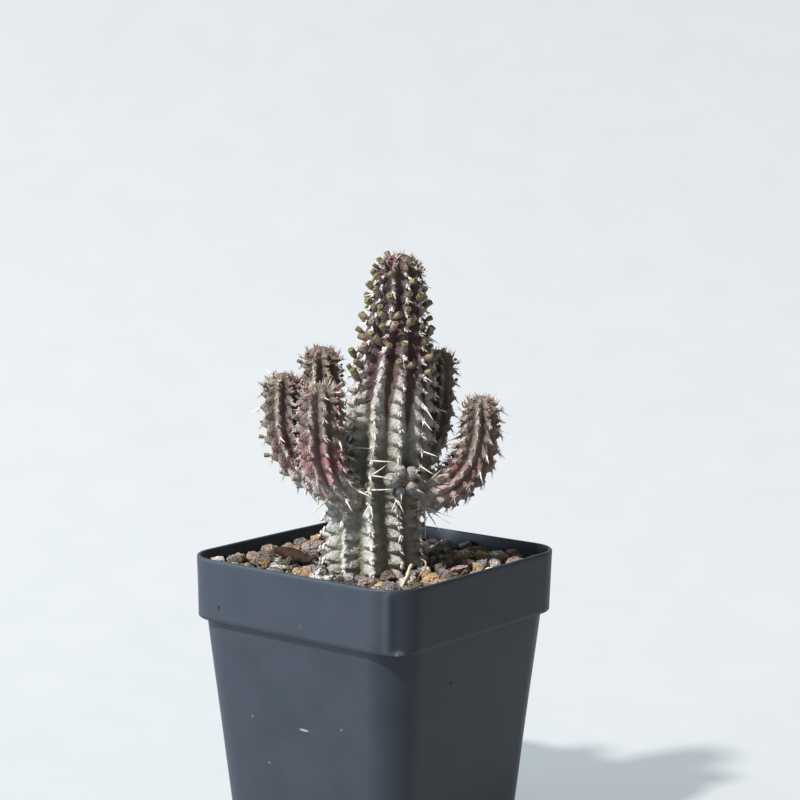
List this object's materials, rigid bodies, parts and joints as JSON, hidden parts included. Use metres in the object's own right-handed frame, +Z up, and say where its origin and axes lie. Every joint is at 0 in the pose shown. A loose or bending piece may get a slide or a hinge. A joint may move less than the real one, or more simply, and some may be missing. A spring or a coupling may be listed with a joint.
{
  "type": "potted euphorbia",
  "caption": "Branched ribbed euphorbia with upcurved side stems, small flower buds and spines, growing in gravel in a square tapered plastic nursery pot.",
  "frame": {"origin": "centre of the pot's flat underside", "axes": "+Z up along the pot's axis; X and Y square to the pot's sides; the plant's fan of arms is turned about 38 degrees from X"},
  "size_m": [0.075, 0.075, 0.1614],
  "materials": {
    "black_plastic": "satin moulded plastic",
    "soil_mix": "crumbly potting mix",
    "waxy_stem": "dull waxy bloom",
    "purple_stem": "dull waxy bloom",
    "bud": "soft satin",
    "dry_spine": "dry, matte",
    "stone_ochre": "rough, pitted",
    "stone_brown": "rough, pitted",
    "stone_white": "rough, pitted",
    "stone_pink": "rough, pitted",
    "stone_bluegrey": "rough, pitted",
    "stone_dark": "rough, pitted",
    "bark": "satin",
    "dry_twig": "dry, matte"
  },
  "bodies": {
    "root": {"arm_back_left": "purple_stem", "arm_back_right": "purple_stem", "arm_front_left": "purple_stem", "arm_left": "purple_stem", "arm_right": "purple_stem", "bark_chip": "bark", "dry_twig": "dry_twig", "flower_bud_01": "bud", "flower_bud_02": "bud", "flower_bud_03": "bud", "flower_bud_04": "bud", "flower_bud_05": "bud", "flower_bud_06": "bud", "flower_bud_07": "bud", "flower_bud_08": "bud", "flower_bud_09": "bud", "flower_bud_10": "bud", "flower_bud_11": "bud", "flower_bud_12": "bud", "flower_bud_13": "bud", "flower_bud_14": "bud", "flower_bud_15": "bud", "flower_bud_16": "bud", "flower_bud_17": "bud", "front_offset": "waxy_stem", "long_spine_01": "dry_spine", "long_spine_02": "dry_spine", "long_spine_03": "dry_spine", "long_spine_04": "dry_spine", "long_spine_05": "dry_spine", "long_spine_06": "dry_spine", "long_spine_07": "dry_spine", "long_spine_08": "dry_spine", "long_spine_09": "dry_spine", "long_spine_10": "dry_spine", "long_spine_11": "dry_spine", "long_spine_12": "dry_spine", "main_stem": "waxy_stem", "pot": "black_plastic", "soil": "soil_mix", "stone_01": "stone_ochre", "stone_02": "stone_brown", "stone_03": "stone_white", "stone_04": "stone_pink", "stone_05": "stone_pink", "stone_06": "stone_bluegrey", "stone_07": "stone_dark", "stone_08": "stone_brown", "stone_09": "stone_ochre", "stone_10": "stone_bluegrey", "stone_11": "stone_pink", "stone_12": "stone_dark", "stone_13": "stone_brown", "stone_14": "stone_ochre", "stone_15": "stone_white", "stone_16": "stone_bluegrey", "stone_17": "stone_dark", "stone_18": "stone_pink", "stone_19": "stone_bluegrey", "stone_20": "stone_brown"}
  },
  "joints": []
}
